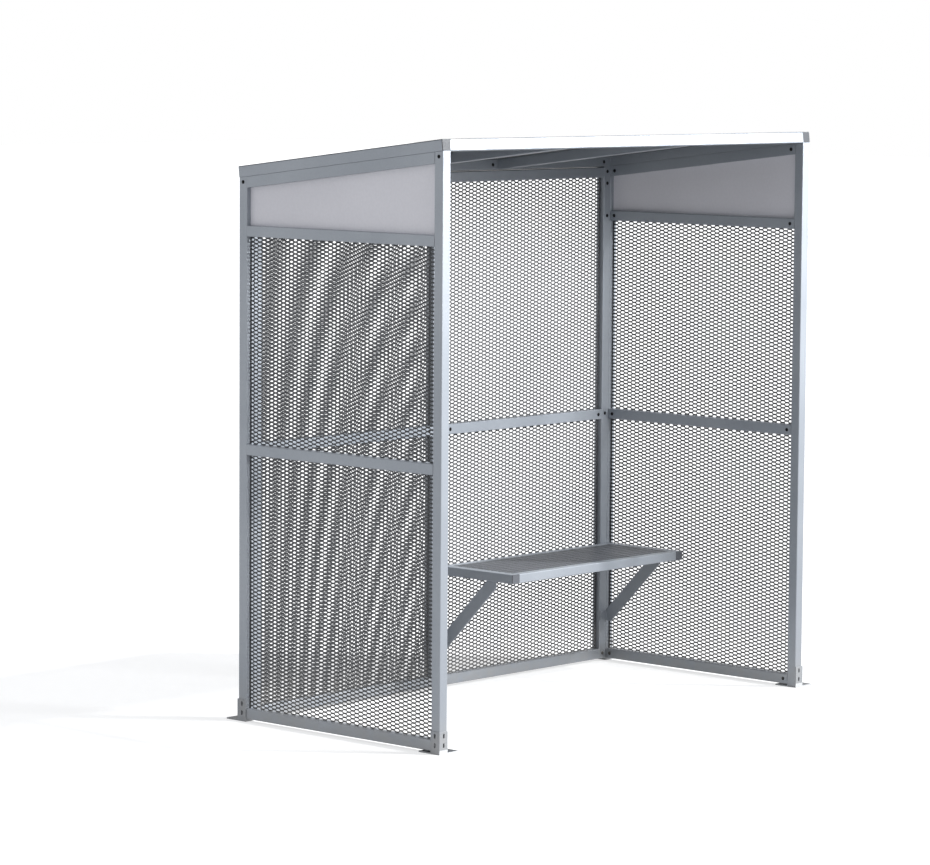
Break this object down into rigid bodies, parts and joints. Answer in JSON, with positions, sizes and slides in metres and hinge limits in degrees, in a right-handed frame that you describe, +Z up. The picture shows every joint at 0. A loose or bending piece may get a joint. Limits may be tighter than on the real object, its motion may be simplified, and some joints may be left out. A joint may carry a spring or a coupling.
{
  "type": "bus shelter",
  "caption": "Small open-fronted steel shelter with a mono-pitch roof, expanded-metal side and back walls, and a wall-mounted bench on its right half.",
  "frame": {"origin": "on the ground, in the middle of the box round the whole shelter, foot plates included", "axes": "+Z up, +X along the shelter's width to the right when facing its open front, +Y from the open front to the back wall"},
  "size_m": [2.143, 1.073, 2.1622],
  "materials": {
    "frame": "satin blue-grey coat on square steel tube",
    "foot": "satin grey, slightly lighter than the tube",
    "mesh": "dull charcoal expanded metal",
    "sheet": "pale lilac-grey gable sheets; the roof sheet is a darker grey",
    "seat": "satin mid-grey slats",
    "end_cap": "matt grey moulded caps"
  },
  "bodies": {
    "root": {"back_bottom_rails": "frame", "back_left_lower_mesh": "mesh", "back_left_upper_mesh": "mesh", "back_left_uprights": "frame", "back_middle_rails": "frame", "back_right_lower_mesh": "mesh", "back_right_upper_mesh": "mesh", "back_right_uprights": "frame", "back_top_rails": "frame", "bench_end_caps": "end_cap", "bench_front_rail": "frame", "bench_left_beam": "frame", "bench_rear_rail": "frame", "bench_right_beam": "frame", "bench_slats": "seat", "bench_struts": "frame", "foot_front_left": "foot", "foot_front_right": "foot", "foot_rear_left": "foot", "foot_rear_right": "foot", "left_bottom_rail": "frame", "left_gable_sheet": "sheet", "left_lower_mesh": "mesh", "left_middle_rail": "frame", "left_top_rail": "frame", "left_upper_mesh": "mesh", "left_upper_rail": "frame", "post_front_left": "frame", "post_front_right": "frame", "post_rear_left": "frame", "post_rear_right": "frame", "right_bottom_rail": "frame", "right_gable_sheet": "sheet", "right_lower_mesh": "mesh", "right_middle_rail": "frame", "right_top_rail": "frame", "right_upper_mesh": "mesh", "right_upper_rail": "frame", "roof_end_caps": "end_cap", "roof_front_trim": "frame", "roof_left_trim": "frame", "roof_rafters": "frame", "roof_rear_trim": "frame", "roof_right_trim": "frame", "roof_sheet": "sheet"}
  },
  "joints": []
}
